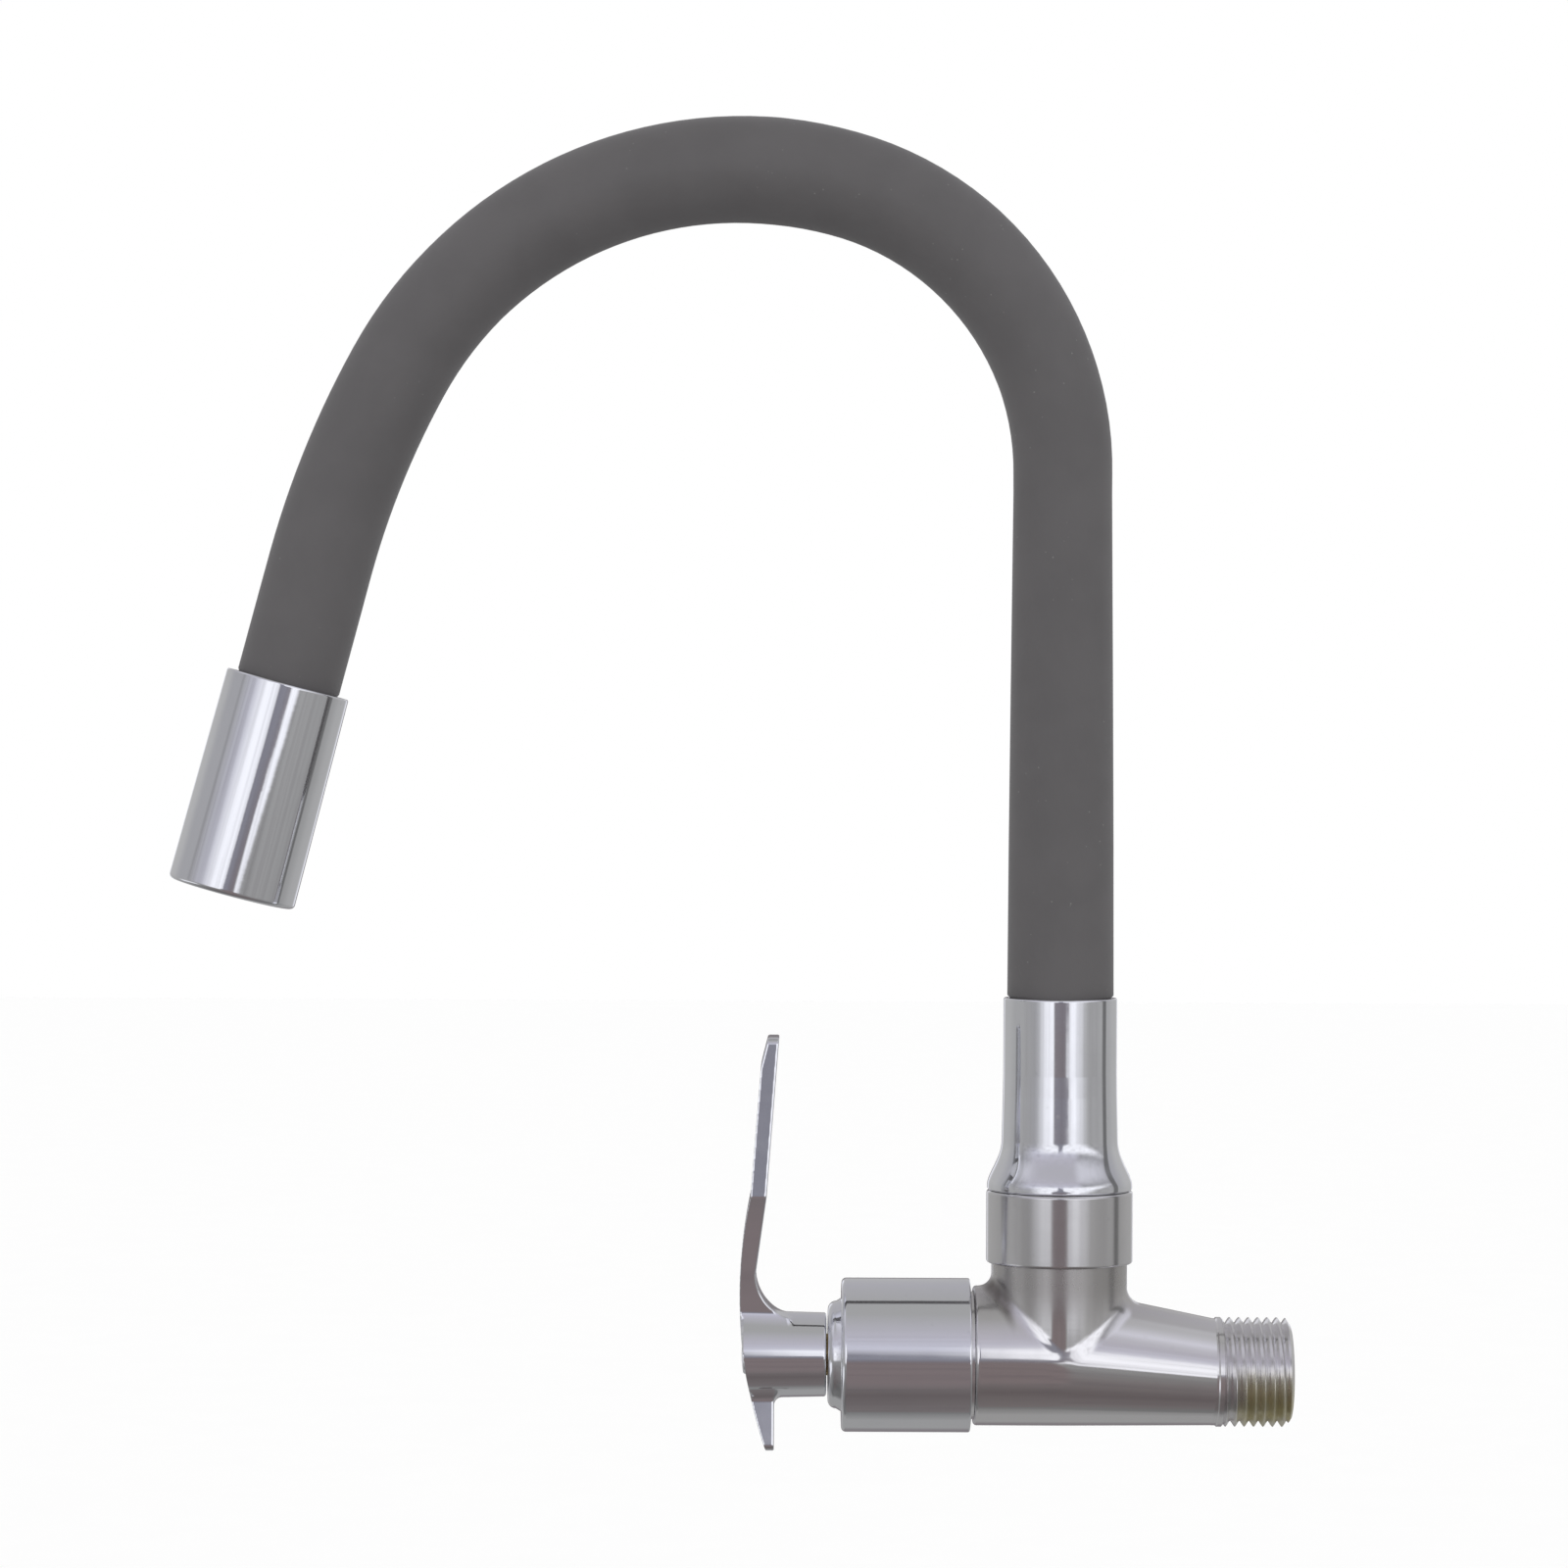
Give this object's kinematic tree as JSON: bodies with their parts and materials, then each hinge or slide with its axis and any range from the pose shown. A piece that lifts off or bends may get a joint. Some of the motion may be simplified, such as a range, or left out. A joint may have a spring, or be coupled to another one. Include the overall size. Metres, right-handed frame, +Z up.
{
  "type": "wall-mounted utility sink tap with flexible spout",
  "caption": "Wall-mounted chrome sink tap with a quarter-turn lever on the body's end and a swivelling grey silicone gooseneck spout with an aerator shell.",
  "frame": {"origin": "centre of the shoulder behind the inlet thread, on the thread's axis", "axes": "+X along the inlet thread into the wall, +Z up, the spout arches towards -X, the lever is at the -X end"},
  "size_m": [0.2157, 0.0294, 0.2559],
  "materials": {
    "chrome": "polished chrome plate on brass",
    "chromed_plastic": "chrome-look plastic plug",
    "brass": "machined",
    "steel": "plain stainless",
    "ceramic": "lapped alumina ceramic",
    "black_rubber": "moulded",
    "white_plastic": "moulded acetal",
    "grey_plastic": "moulded",
    "grey_silicone": "matte silicone",
    "hose_liner": "extruded"
  },
  "bodies": {
    "tap": {"tap_body": "chrome", "cartridge_seal": "black_rubber", "fixed_disc": "ceramic", "cartridge_housing": "brass", "housing_o_ring": "black_rubber", "bonnet_sleeve": "chrome", "union_nut": "chrome"},
    "lever": {"moving_disc": "ceramic", "spindle": "brass", "friction_washer": "white_plastic", "spindle_o_rings": "black_rubber", "spindle_clip": "steel", "lever_handle": "chrome", "handle_screw": "steel", "index_cap": "chromed_plastic"},
    "spout": {"spout_tail": "brass", "tail_o_rings": "black_rubber", "glide_rings": "white_plastic", "riser_ferrule": "chrome", "lower_crimp_ring": "steel", "silicone_sleeve": "grey_silicone", "inner_hose": "hose_liner", "support_tube_1": "steel"},
    "hose_2": {"support_tube_2": "steel"},
    "hose_3": {"support_tube_3": "steel"},
    "hose_4": {"support_tube_4": "steel"},
    "hose_5": {"support_tube_5": "steel"},
    "hose_6": {"support_tube_6": "steel"},
    "hose_7": {"support_tube_7": "steel", "upper_crimp_ring": "steel", "outlet_nipple": "brass", "outlet_shell": "chrome", "aerator_gasket": "black_rubber", "aerator_housing": "white_plastic", "aerator_screen": "white_plastic", "aerator_ring": "grey_plastic"}
  },
  "joints": [
    {"name": "lever_turn", "type": "hinge", "parent": "tap", "child": "lever", "pos_m": [-0.085, 0, 0.003], "axis": [-1, 0, 0], "range_deg": [0, 90]},
    {"name": "spout_swivel", "type": "hinge", "parent": "tap", "child": "spout", "pos_m": [-0.03, 0, 0.03], "axis": [0, 0, 1], "continuous": true},
    {"name": "bend_1", "type": "hinge", "parent": "spout", "child": "hose_2", "pos_m": [-0.03, 0, 0.12062], "axis": [0, -1, 0], "range_deg": [-8, 5], "deforming": ["silicone_sleeve", "inner_hose"]},
    {"name": "bend_2", "type": "hinge", "parent": "hose_2", "child": "hose_3", "pos_m": [-0.03, 0, 0.16931], "axis": [0, -1, 0], "range_deg": [-8, 5], "deforming": ["silicone_sleeve", "inner_hose"]},
    {"name": "bend_3", "type": "hinge", "parent": "hose_3", "child": "hose_4", "pos_m": [-0.04654, 0, 0.2136], "axis": [0, -1, 0], "range_deg": [-20, 5], "deforming": ["silicone_sleeve", "inner_hose"]},
    {"name": "bend_4", "type": "hinge", "parent": "hose_4", "child": "hose_5", "pos_m": [-0.09063, 0, 0.23119], "axis": [0, -1, 0], "range_deg": [-20, 5], "deforming": ["silicone_sleeve", "inner_hose"]},
    {"name": "bend_5", "type": "hinge", "parent": "hose_5", "child": "hose_6", "pos_m": [-0.13626, 0, 0.21683], "axis": [0, -1, 0], "range_deg": [-20, 5], "deforming": ["silicone_sleeve", "inner_hose"]},
    {"name": "bend_6", "type": "hinge", "parent": "hose_6", "child": "hose_7", "pos_m": [-0.16477, 0, 0.17816], "axis": [0, -1, 0], "range_deg": [-20, 5], "deforming": ["silicone_sleeve", "inner_hose"]}
  ]
}
